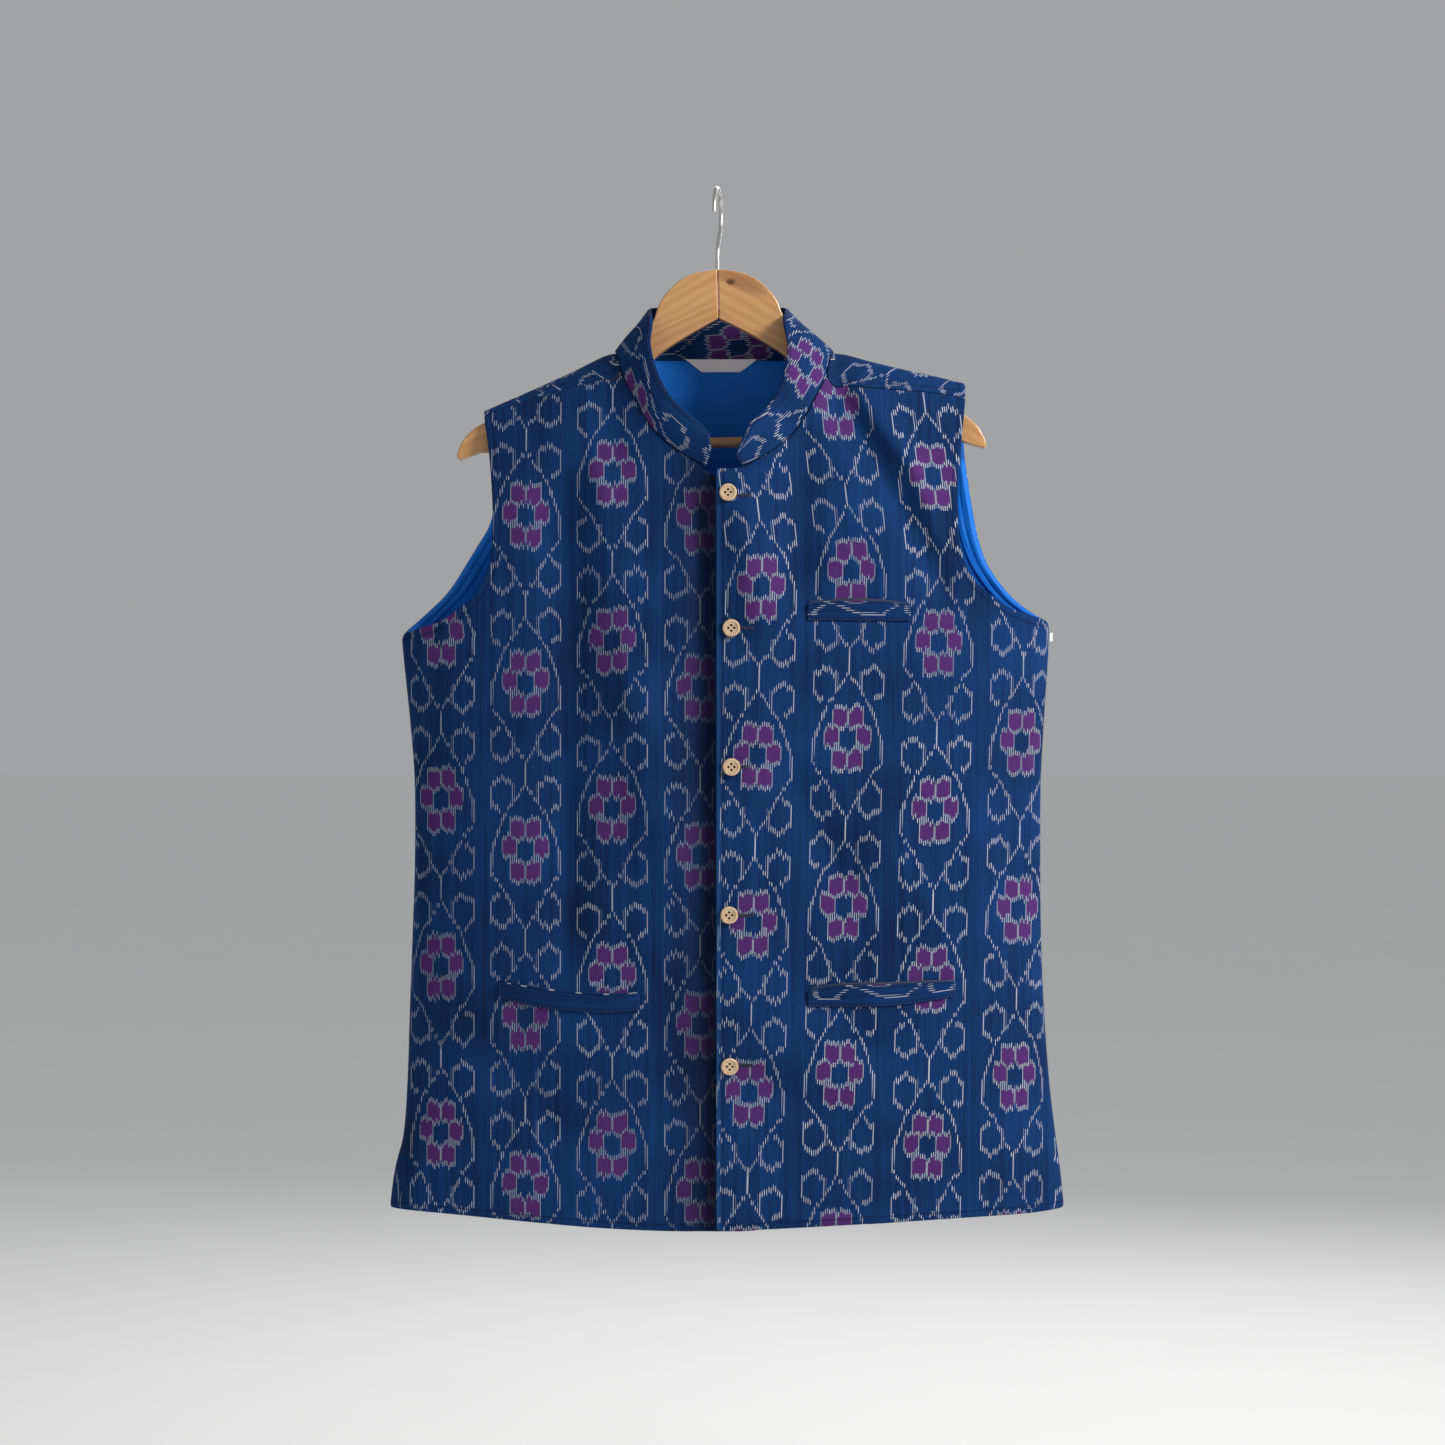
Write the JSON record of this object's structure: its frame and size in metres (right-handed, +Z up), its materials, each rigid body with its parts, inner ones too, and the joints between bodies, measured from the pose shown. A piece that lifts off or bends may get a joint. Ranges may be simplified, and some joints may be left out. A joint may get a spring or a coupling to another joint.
{
  "type": "nehru jacket on a hanger",
  "caption": "Sleeveless Nehru jacket in dark blue ikat cloth with a stand collar, a buttoned front and welt pockets, hanging on a wooden hanger with a wire hook.",
  "frame": {"origin": "the place inside the top of the hook where a rail bears", "axes": "+Z up, -Y out of the jacket's front, +X towards the wearer's left"},
  "size_m": [0.5592, 0.0948, 0.8622],
  "materials": {
    "ikat": "matt woven cotton",
    "lining": "smooth plain lining",
    "label": "plain white tape",
    "button": "turned and polished",
    "wood": "clear varnish",
    "steel": "plain drawn wire"
  },
  "bodies": {
    "root": {"back": "ikat", "lining_back": "lining", "front_left": "ikat", "front_right": "ikat", "collar": "ikat", "welt_breast": "ikat", "welt_left": "ikat", "welt_right": "ikat", "button_1": "button", "button_2": "button", "button_3": "button", "button_4": "button", "button_5": "button", "neck_label": "label", "side_label": "label", "hanger_arm_left": "wood", "hanger_arm_right": "wood", "hanger_bar": "wood", "hanger_hook": "steel"}
  },
  "joints": []
}
